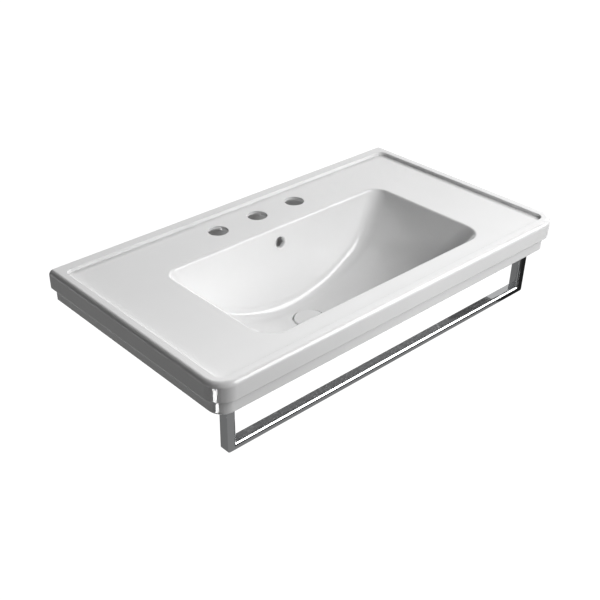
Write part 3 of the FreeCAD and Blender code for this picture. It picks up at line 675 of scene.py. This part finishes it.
@dataclass(frozen=True)
class SkyGlow:
    """A soft bright part of the studio's sky."""

    azimuth: float
    elevation: float
    tightness: float
    strength: float

    def shine(self, board: NodeBoard, place: bpy.types.NodeSocket) -> bpy.types.NodeSocket:
        """Add the glow to a sky.

        Args:
            board: The sky's board.
            place: The socket that carries the viewing direction.

        Returns:
            The socket that carries the glow's strength.
        """
        facing = board.add("ShaderNodeVectorMath", operation="DOT_PRODUCT")
        facing.inputs[1].default_value = towards(self.azimuth, self.elevation)
        front = board.add("ShaderNodeMath", operation="MAXIMUM")
        front.inputs[1].default_value = 0.0
        narrow = board.add("ShaderNodeMath", operation="POWER")
        narrow.inputs[1].default_value = self.tightness
        scaled = board.add("ShaderNodeMath", operation="MULTIPLY")
        scaled.inputs[1].default_value = self.strength
        board.join(place, facing.inputs[0])
        board.join(facing.outputs["Value"], front.inputs[0])
        board.join(front.outputs["Value"], narrow.inputs[0])
        board.join(narrow.outputs["Value"], scaled.inputs[0])
        return scaled.outputs["Value"]


@dataclass(frozen=True)
class DarkCard:
    """A grey card low over the floor, seen only where chrome or glaze mirrors it."""

    name: str
    middle: Place
    width: float
    length: float
    tone: float

    def lay(self) -> None:
        """Lay the card and hide it from all but mirrored rays."""
        bpy.ops.mesh.primitive_plane_add(size=1.0, location=self.middle)
        card = bpy.context.object
        card.name = self.name
        card.scale = (self.width, self.length, 1.0)
        card.visible_camera = False
        card.visible_diffuse = False
        card.visible_shadow = False
        made, board = fresh_material(self.name)
        outlet = board.add("ShaderNodeOutputMaterial")
        matt = board.add("ShaderNodeEmission")
        matt.inputs["Color"].default_value = grey(self.tone)
        board.join(matt.outputs["Emission"], outlet.inputs["Surface"])
        card.data.materials.append(made)


@dataclass(frozen=True)
class PhotoView:
    """The photograph's viewing angle and framing."""

    picture_pixels: float = 600.0
    focal_pixels: float = 957.5
    centre_x_pixels: float = 273.02
    centre_y_pixels: float = 355.06
    azimuth: float = -41.62
    elevation: float = 34.52
    distance: float = 1.55309
    target: Place = (-0.3217, -0.48459, 0.105)
    sensor_mm: float = 36.0

    def place(self) -> None:
        """Make the camera and hand it to the scene."""
        back = towards(self.azimuth, self.elevation)
        bpy.ops.object.camera_add(location=Vector(self.target) + back * self.distance)
        camera = bpy.context.object
        camera.rotation_mode = "QUATERNION"
        camera.rotation_quaternion = (-back).to_track_quat("-Z", "Y")
        camera.data.sensor_width = self.sensor_mm
        camera.data.lens = self.focal_pixels / self.picture_pixels * self.sensor_mm
        camera.data.shift_x = 0.5 - self.centre_x_pixels / self.picture_pixels
        camera.data.shift_y = self.centre_y_pixels / self.picture_pixels - 0.5
        camera.data.dof.use_dof = False
        bpy.context.scene.camera = camera


@dataclass
class Studio:
    """Pale floor, dim sky, soft lamps, grey cards and the camera."""

    floor_drop: float = 0.85
    floor_side: float = 40.0
    floor_tone: float = 0.12
    backdrop_glow: float = 0.985
    sky_tone: float = 0.01
    aim: Vector = field(default_factory=lambda: Vector((0.0, -0.25, 0.05)))
    view: PhotoView = PhotoView()
    # Azimuth, elevation and distance from the aim, then width, height and power.
    softboxes: tuple[Softbox, ...] = (
        Softbox("tall_softbox", 38.0, 28.0, 2.6, 2.0, 1.8, 82.0, Reach.MIRROR),
        Softbox("front_softbox", 38.0, 38.0, 2.6, 1.2, 1.2, 27.8, Reach.LIGHT),
        Softbox("front_fill", 8.0, 30.0, 1.3, 0.8, 0.6, 5.4, Reach.LIGHT),
        Softbox("low_fill", 30.0, -8.0, 2.6, 2.0, 0.5, 8.0, Reach.LIGHT),
        Softbox("back_lamp", 132.0, 23.0, 6.0, 0.8, 0.8, 255.0, Reach.LIGHT),
        Softbox("left_fill", -95.0, -15.0, 2.6, 1.4, 0.5, 7.5, Reach.LIGHT),
        Softbox("corner_strip", -67.9, -24.9, 1.44, 0.28, 0.1, 1.6, Reach.MIRROR),
    )
    # Azimuth, elevation, tightness and strength.
    glows: tuple[SkyGlow, ...] = (
        SkyGlow(140.0, 50.0, 24.0, 1.65),
        SkyGlow(90.0, 50.0, 12.0, 0.4),
        SkyGlow(100.0, 15.0, 12.0, 1.23),
    )
    # Middle, width, length and tone.
    cards: tuple[DarkCard, ...] = (
        DarkCard("front_card", (2.25, -1.45, -0.7), 2.0, 1.5, 0.02),
        DarkCard("far_card", (3.4, -5.7, -0.7), 12.8, 8.6, 0.04),
        DarkCard("near_card", (-0.275, -1.025, -0.7), 3.05, 0.75, 0.26),
        DarkCard("left_card", (-1.25, 0.55, -0.7), 1.7, 2.4, 0.2),
    )

    def build(self) -> None:
        """Lay the floor and cards, then light and frame the basin."""
        self.lay_floor()
        for card in self.cards:
            card.lay()
        self.light_sky()
        for softbox in self.softboxes:
            softbox.light(self.aim)
        self.view.place()

    def lay_floor(self) -> None:
        """Lay a plain pale floor as far below the rim as a fitted basin hangs."""
        level = CAD_BOX[1].z - self.floor_drop
        bpy.ops.mesh.primitive_plane_add(size=self.floor_side, location=(0.0, 0.0, level))
        floor = bpy.context.object
        floor.name = "pale_floor"
        made, board = fresh_material(floor.name)
        outlet = board.add("ShaderNodeOutputMaterial")
        matt = board.add("ShaderNodeBsdfDiffuse")
        matt.inputs["Color"].default_value = grey(self.floor_tone)
        glow = board.add("ShaderNodeEmission")
        board.join(self.seen(board, self.backdrop_glow), glow.inputs["Strength"])
        both = board.add("ShaderNodeAddShader")
        board.join(matt.outputs["BSDF"], both.inputs[0])
        board.join(glow.outputs["Emission"], both.inputs[1])
        board.join(both.outputs["Shader"], outlet.inputs["Surface"])
        floor.data.materials.append(made)

    @staticmethod
    def seen(board: NodeBoard, strength: float) -> bpy.types.NodeSocket:
        """A strength that only what is seen directly, mirrored or through glass gets.

        Args:
            board: The board to build on.
            strength: The strength for such rays.

        Returns:
            The socket that carries it.
        """
        path = board.add("ShaderNodeLightPath")
        first = board.add("ShaderNodeMath", operation="MAXIMUM")
        second = board.add("ShaderNodeMath", operation="MAXIMUM")
        scaled = board.add("ShaderNodeMath", operation="MULTIPLY")
        scaled.inputs[1].default_value = strength
        board.join(path.outputs["Is Camera Ray"], first.inputs[0])
        board.join(path.outputs["Is Glossy Ray"], first.inputs[1])
        board.join(first.outputs["Value"], second.inputs[0])
        board.join(path.outputs["Is Transmission Ray"], second.inputs[1])
        board.join(second.outputs["Value"], scaled.inputs[0])
        return scaled.outputs["Value"]

    def light_sky(self) -> None:
        """Light a dim sky with soft bright parts, white only where the camera sees it."""
        world = bpy.data.worlds.new("studio_sky")
        bpy.context.scene.world = world
        world.use_nodes = True
        board = NodeBoard(world.node_tree)
        outlet = board.add("ShaderNodeOutputWorld")
        sky = board.add("ShaderNodeBackground")
        place = board.add("ShaderNodeTexCoord")
        total = board.add("ShaderNodeValue").outputs["Value"]
        total.default_value = self.sky_tone
        for glow in self.glows:
            both = board.add("ShaderNodeMath", operation="ADD")
            board.join(total, both.inputs[0])
            board.join(glow.shine(board, place.outputs["Generated"]), both.inputs[1])
            total = both.outputs["Value"]
        backdrop = board.add("ShaderNodeMath", operation="MULTIPLY_ADD")
        backdrop.inputs[1].default_value = self.backdrop_glow
        path = board.add("ShaderNodeLightPath")
        board.join(path.outputs["Is Camera Ray"], backdrop.inputs[0])
        board.join(total, backdrop.inputs[2])
        sky.inputs["Color"].default_value = grey(1.0)
        board.join(backdrop.outputs["Value"], sky.inputs["Strength"])
        board.join(sky.outputs["Background"], outlet.inputs["Surface"])


def main() -> None:
    """Build each sub-assembly, then the studio around it."""
    logging.basicConfig(level=logging.INFO, format="%(message)s")
    CeramicBody().build()
    TowelRail().build()
    Waste().build()
    Plug().build()
    Studio().build()
    bpy.context.scene.view_settings.view_transform = "Standard"


if __name__ == "__main__":
    main()
